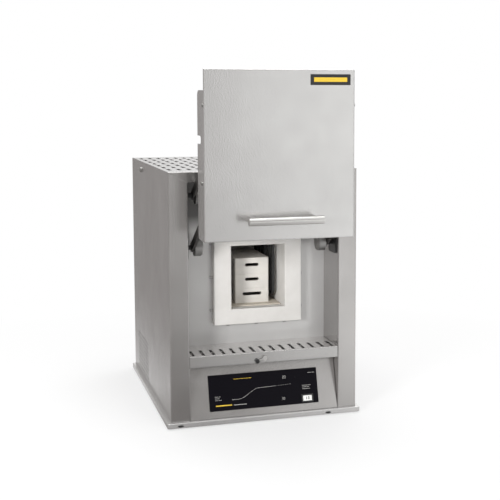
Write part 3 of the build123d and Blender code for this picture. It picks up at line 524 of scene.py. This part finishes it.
def panel_print():
    """White and yellow printing on the control panel."""
    line_step = 3.6
    white = heating_curve()
    white += digit_strokes("20", 42, 71, 5.0) + digit_strokes("30", 38, 27, 4.5)
    white += dash_row(98, 79, (5, 2, 4), 0.7)
    for row, (right, left) in enumerate((((12, 5), (7, 3)), ((9, 4), (9,)), ((12, 3), (6, 6)))):
        white += dash_row(84, 53 - line_step * row, right, 0.7)
        white += dash_row(-106, 44 - line_step * row, left, 0.6)
    white += dash_row(-66, 25, (3, 7, 5, 6), 1.1)
    yellow = dash_row(-64, 78, (3, 5, 2, 6, 3, 4, 5), 0.8) + dash_row(-104, 25.5, (32,), 2.1)
    low, high = PANEL_T - INK_SUNK, PANEL_T + INK_T
    prints = ("panel_marks", white, INK_WHITE), ("panel_accents", yellow, INK_YELLOW)
    for name, strokes, ink in prints:
        def build(shape, strokes=strokes):
            for outline in strokes:
                add_prism(shape, outline, fascia_point, low, high)
        piece = add_mesh(name, build, ink)
        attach(piece, "cabinet")


def rocker_marks():
    """The 1 and 0 on the mains rocker, laid on its tilted face."""
    mesh = frame["nodes"]["mains_rocker"].data
    corners = [vertex.co for vertex in mesh.vertices]
    face = BVHTree.FromPolygons(corners, [polygon.vertices for polygon in mesh.polygons])
    across = [(corner - FASCIA_FOOT).dot(FASCIA_U) / MM for corner in corners]
    along = [(corner - FASCIA_FOOT).dot(FASCIA_V) / MM for corner in corners]
    middle_u, middle_v = (min(across) + max(across)) / 2, (min(along) + max(along)) / 2

    def place(u, v, w):
        hit = face.ray_cast(fascia_point(u, v, RAY_START), -FASCIA_W)[0]
        return hit + FASCIA_W * w * MM

    foot_v = middle_v - MARK_TALL / 2
    strokes = digit_strokes("1", middle_u + MARK_ONE, foot_v, MARK_TALL, weight=0.26)
    strokes += digit_strokes("0", middle_u + MARK_ZERO, foot_v, MARK_TALL, weight=0.24)

    def build(shape):
        for outline in strokes:
            add_prism(shape, outline, place, -MARK_SUNK, INK_T)

    piece = add_mesh("rocker_marks", build, INK_DARK)
    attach(piece, "rocker")


def badge_stripe():
    """A plain yellow bar on the black plate at the door's top right."""
    low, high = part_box("badge_plate")
    left, bottom = low.x + STRIPE_MARGIN.x, low.z + STRIPE_MARGIN.z
    right, top = high.x - STRIPE_MARGIN.x, high.z - STRIPE_MARGIN.z
    outline = [(left, bottom), (right, bottom), (right, top), (left, top)]

    def place(x, z, proud):
        return Vector((x, low.y - proud, z))

    def build(shape):
        add_prism(shape, outline, place, STRIPE_BACK, STRIPE_FRONT)

    piece = add_mesh("badge_stripe", build, INK_YELLOW)
    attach(piece, "door")


def tray_plugs():
    """Two oval rubber plugs in the front of the tray's rim, each a low dome."""
    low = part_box("base_tray")[0]
    turns = [2 * math.pi * n / PLUG_SIDES for n in range(PLUG_SIDES)]

    def oval(shape, x, size, proud):
        return [
            shape.verts.new((
                x + PLUG_HALF_WIDE * size * math.cos(turn),
                low.y - proud,
                low.z + PLUG_UP + PLUG_HALF_TALL * size * math.sin(turn),
            ))
            for turn in turns
        ]

    def build(shape):
        for x in PLUG_PLACES:
            close_rings(shape, [oval(shape, x, *level) for level in PLUG_LEVELS])

    piece = add_mesh("tray_plugs", build, FINISH["foot_rubber"])
    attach(piece, "cabinet")


# ---- Stage ----
class Maths:
    """Short calls for scalar node maths in one node tree."""

    def __init__(self, tree):
        self.tree = tree

    def node(self, kind, **settings):
        made = self.tree.nodes.new(kind)
        for key, value in settings.items():
            setattr(made, key, value)
        return made

    def take(self, socket, value):
        if isinstance(value, bpy.types.NodeSocket):
            self.tree.links.new(value, socket)
        else:
            whole = isinstance(value, tuple) and len(value) == 3 and socket.type == "RGBA"
            socket.default_value = (*value, 1.0) if whole else value

    def op(self, operation, *values, clamp=False):
        made = self.node("ShaderNodeMath", operation=operation, use_clamp=clamp)
        for socket, value in zip(made.inputs, values):
            self.take(socket, value)
        return made.outputs[0]

    def ramp(self, source, steepness, level):
        """source times steepness plus level, kept between 0 and 1."""
        return self.op("MULTIPLY_ADD", source, steepness, level, clamp=True)

    def pick(self, factor, one, other):
        """one where factor is 0 and other where it is 1."""
        made = self.node("ShaderNodeMix", data_type="FLOAT")
        for place, value in zip((MIX_FACTOR, *MIX_NUMBERS), (factor, one, other)):
            self.take(made.inputs[place], value)
        return made.outputs[MIX_NUMBER]

    def blend(self, factor, one, other):
        """The same for colours."""
        made = self.node("ShaderNodeMix", data_type="RGBA")
        for place, value in zip((MIX_FACTOR, *MIX_COLORS), (factor, one, other)):
            self.take(made.inputs[place], value)
        return made.outputs[MIX_COLOR]


# What metal sees of the studio: colours, and ramps as (steepness, level) along an axis.
WHITE = (1, 1, 1)
AMBIENT = (0.55, 0.55, 0.55)
BRIGHT = (1.1, 1.1, 1.09)
DIM_NEAR = (0.10, 0.088, 0.083)
DIM_LEFT = (0.52, 0.50, 0.49)
BACK_LEFT = (0.34, 0.322, 0.314)
BACK_RIGHT = (1.0, 1.0, 1.0)
LEFT_RAMP = (-3.4, 0.68)
RIGHT_RAMP = (3.0, 0.4)
FRONT_RAMP = (-3.0, 0.5)
BEHIND_RAMP = (2.0, 0.5)
OVERHEAD_RAMP = (4.0, -1.5)

# The softbox at the front right: its middle, its half width, and its reach below and above the
# horizon, as parts of a direction; then how soft its edge is.
SOFTBOX_AT = 0.55
SOFTBOX_HALF_WIDE = 0.37
SOFTBOX_BELOW = 0.40
SOFTBOX_ABOVE = 0.42
SOFTBOX_EDGE = 1.15
SOFTBOX_STEEPNESS = 3.2

# The point that the lights face, in metres.
LIGHTS_AIM = Vector((0, 0, 0.35))

# The floor disc, in metres, and the same ramps by place on it.
FLOOR_R = 1.6
FLOOR_SIDES = 96
FLOOR_COLOR = (0.86, 0.86, 0.86)
FADE_FROM = 0.35
FADE_OVER = 0.75
FLOOR_SHOW = (0.55, 1.0)
FLOOR_ACROSS = (1.4, 0.36)
FLOOR_BEHIND_RAMP = (3.0, 0.5)
FLOOR_BRIGHT_RAMP = (1.5, 0.3)


def studio_color(maths, across, behind, bright):
    """What metal sees: white at the back right, dimmer at the left, and dark near the camera."""
    left = maths.ramp(across, *LEFT_RAMP)
    right = maths.ramp(across, *RIGHT_RAMP)
    front = maths.blend(left, DIM_NEAR, DIM_LEFT)
    back = maths.blend(right, BACK_LEFT, BACK_RIGHT)
    return maths.blend(bright, maths.blend(behind, front, back), BRIGHT)


def build_world():
    """White to the camera, an even light, and for metal a studio with a broad softbox."""
    world = bpy.data.worlds.new("studio")
    bpy.context.scene.world = world
    world.use_nodes = True
    maths = Maths(world.node_tree)
    path = maths.node("ShaderNodeLightPath")
    axes = maths.node("ShaderNodeSeparateXYZ")
    maths.take(axes.inputs[0], maths.node("ShaderNodeTexCoord").outputs["Generated"])
    across, back, up = axes.outputs
    off_across = maths.op("DIVIDE", maths.op("SUBTRACT", across, SOFTBOX_AT), SOFTBOX_HALF_WIDE)
    low, high = maths.op("MINIMUM", up, 0.0), maths.op("MAXIMUM", up, 0.0)
    off_down = maths.op("DIVIDE", low, SOFTBOX_BELOW)
    off_up = maths.op("MULTIPLY_ADD", high, 1 / SOFTBOX_ABOVE, off_down)
    up_squared = maths.op("MULTIPLY", off_up, off_up)
    off = maths.op("SQRT", maths.op("MULTIPLY_ADD", off_across, off_across, up_squared))
    short_of_edge = maths.op("SUBTRACT", SOFTBOX_EDGE, off)
    inside = maths.op("MULTIPLY", short_of_edge, SOFTBOX_STEEPNESS, clamp=True)
    at_front = maths.ramp(back, *FRONT_RAMP)
    behind = maths.ramp(back, *BEHIND_RAMP)
    overhead = maths.ramp(up, *OVERHEAD_RAMP)
    bright = maths.op("MAXIMUM", maths.op("MULTIPLY", inside, at_front), overhead)
    seen = studio_color(maths, across, behind, bright)
    lit = maths.blend(path.outputs["Is Glossy Ray"], AMBIENT, seen)
    plain = maths.op("MAXIMUM", path.outputs["Is Camera Ray"], path.outputs["Is Transmission Ray"])
    shown = maths.blend(plain, lit, WHITE)
    maths.take(world.node_tree.nodes["Background"].inputs["Color"], shown)


def build_floor():
    """A pale disc that keeps the object's shadow and fades into the white surround."""
    turns = [2 * math.pi * n / FLOOR_SIDES for n in range(FLOOR_SIDES)]

    def build(shape):
        rim = [(FLOOR_R * math.cos(turn), FLOOR_R * math.sin(turn), 0) for turn in turns]
        shape.faces.new([shape.verts.new(corner) for corner in rim])

    paint = Paint("pale_floor", FLOOR_COLOR, 0.9)
    tree = paint.tree
    maths = Maths(tree)
    path = maths.node("ShaderNodeLightPath")
    axes = maths.node("ShaderNodeSeparateXYZ")
    maths.take(axes.inputs[0], paint.place)
    length = maths.node("ShaderNodeVectorMath", operation="LENGTH")
    maths.take(length.inputs[0], paint.place)
    past_start = maths.op("SUBTRACT", length.outputs["Value"], FADE_FROM)
    fade = maths.op("DIVIDE", past_start, FADE_OVER, clamp=True)
    behind = maths.ramp(axes.outputs["Y"], *FLOOR_BEHIND_RAMP)
    bright = maths.ramp(axes.outputs["X"], *FLOOR_BRIGHT_RAMP)
    across = maths.op("MULTIPLY_ADD", axes.outputs["X"], *FLOOR_ACROSS)
    seen = studio_color(maths, across, behind, bright)
    camera = maths.op("MAXIMUM", path.outputs["Is Camera Ray"], path.outputs["Is Transmission Ray"])
    glow = maths.node("ShaderNodeEmission")
    maths.take(glow.inputs["Color"], maths.blend(camera, seen, WHITE))
    shown = maths.pick(camera, path.outputs["Is Glossy Ray"], maths.pick(fade, *FLOOR_SHOW))
    mix = maths.node("ShaderNodeMixShader")
    maths.take(mix.inputs[0], shown)
    maths.take(mix.inputs[1], paint.shader.outputs[0])
    maths.take(mix.inputs[2], glow.outputs[0])
    maths.take(tree.nodes["Material Output"].inputs["Surface"], mix.outputs[0])
    floor = add_mesh("floor", build, paint.material)


def add_light(name, place, size, power, glossy):
    """A rectangular softbox that faces the object; glossy is whether metal sees it."""
    data = bpy.data.lights.new(name, "AREA")
    data.shape = "RECTANGLE"
    data.size, data.size_y = size
    data.energy = power
    lamp = bpy.data.objects.new(name, data)
    lamp.location = place
    lamp.rotation_mode = "QUATERNION"
    lamp.rotation_quaternion = (LIGHTS_AIM - Vector(place)).to_track_quat("-Z", "Y")
    lamp.visible_glossy = glossy
    bpy.context.scene.collection.objects.link(lamp)


def light_stage():
    """A key from the left front, a broad front light, a high one, and one overhead."""
    add_light("key_softbox", (-1.8, -2.0, 0.85), (0.6, 0.6), 46, glossy=False)
    add_light("front_softbox", (0.1, -2.7, 0.9), (2.2, 1.3), 10, glossy=False)
    add_light("high_softbox", (0.3, -1.6, 2.3), (1.3, 1.3), 14, glossy=False)
    add_light("top_softbox", (0.1, 0.4, 2.3), (1.4, 1.4), 26, glossy=True)


def add_camera():
    """The camera at the picture's viewpoint, with the picture's off-centre axis as lens shift."""
    data = bpy.data.cameras.new("camera")
    data.sensor_width = SENSOR
    data.lens = FOCAL_PX * SENSOR / PICTURE
    data.shift_x = (PICTURE / 2 - AXIS_PX[0]) / PICTURE
    data.shift_y = (AXIS_PX[1] - PICTURE / 2) / PICTURE
    camera = bpy.data.objects.new("camera", data)
    camera.location = CAMERA_AT
    look = Vector((
        math.sin(CAMERA_YAW) * math.cos(CAMERA_PITCH),
        math.cos(CAMERA_YAW) * math.cos(CAMERA_PITCH),
        -math.sin(CAMERA_PITCH),
    ))
    camera.rotation_mode = "QUATERNION"
    camera.rotation_quaternion = look.to_track_quat("-Z", "Y")
    bpy.context.scene.collection.objects.link(camera)
    bpy.context.scene.camera = camera


add_camera()
finish_nodes()
panel_print()
rocker_marks()
badge_stripe()
tray_plugs()
build_world()
build_floor()
light_stage()
bpy.context.scene.view_settings.view_transform = "Standard"
